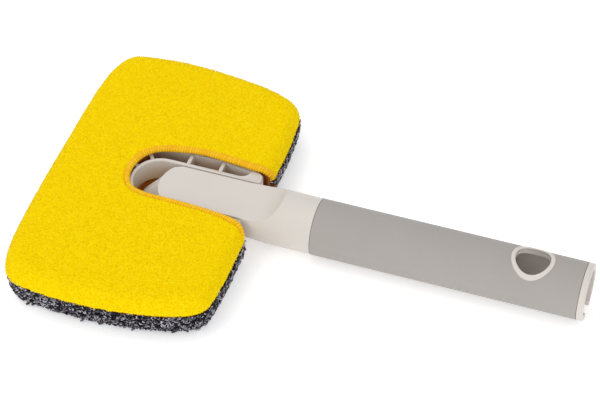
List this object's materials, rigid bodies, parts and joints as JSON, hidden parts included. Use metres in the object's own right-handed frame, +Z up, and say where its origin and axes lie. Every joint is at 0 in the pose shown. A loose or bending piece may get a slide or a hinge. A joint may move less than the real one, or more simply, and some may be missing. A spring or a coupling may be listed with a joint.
{
  "type": "bath scrubber",
  "caption": "Bath scrubber: a flat U-shaped pad with a scouring cloth face and a chenille face over a ribbed frame, hinged on a round grip handle with a hanging hole and a hollow open end.",
  "frame": {"origin": "on the floor plane, under the middle of the whole length; the handle's axis lies above it in the plane y = 0", "axes": "+X along the handle towards its open end, +Y across the head, +Z up, out of the scouring face"},
  "size_m": [0.3196, 0.1998, 0.033],
  "materials": {
    "cream_plastic": "moulded, low sheen",
    "soft_grip": "matt soft-touch sleeve",
    "pin_steel": "plain pin, hidden in use",
    "washer_plastic": "plain washer",
    "scouring_cloth": "rough looped scouring cloth with bright specks",
    "chenille_cloth": "dark chenille with lilac-grey strands",
    "overlock_thread": "dense overlock stitches"
  },
  "bodies": {
    "handle": {"handle_core": "cream_plastic", "grip_sleeve": "soft_grip"},
    "head": {"head_frame": "cream_plastic", "pivot_pin": "pin_steel", "friction_washer_left": "washer_plastic", "friction_washer_right": "washer_plastic", "scrub_cover": "scouring_cloth", "chenille_cover": "chenille_cloth", "scrub_opening_binding": "overlock_thread", "chenille_opening_binding": "overlock_thread"}
  },
  "joints": [
    {"name": "head_pivot", "type": "hinge", "parent": "head", "child": "handle", "pos_m": [-0.091, 0, 0.0165], "axis": [0, -1, 0], "range_deg": [-90, 100]}
  ]
}
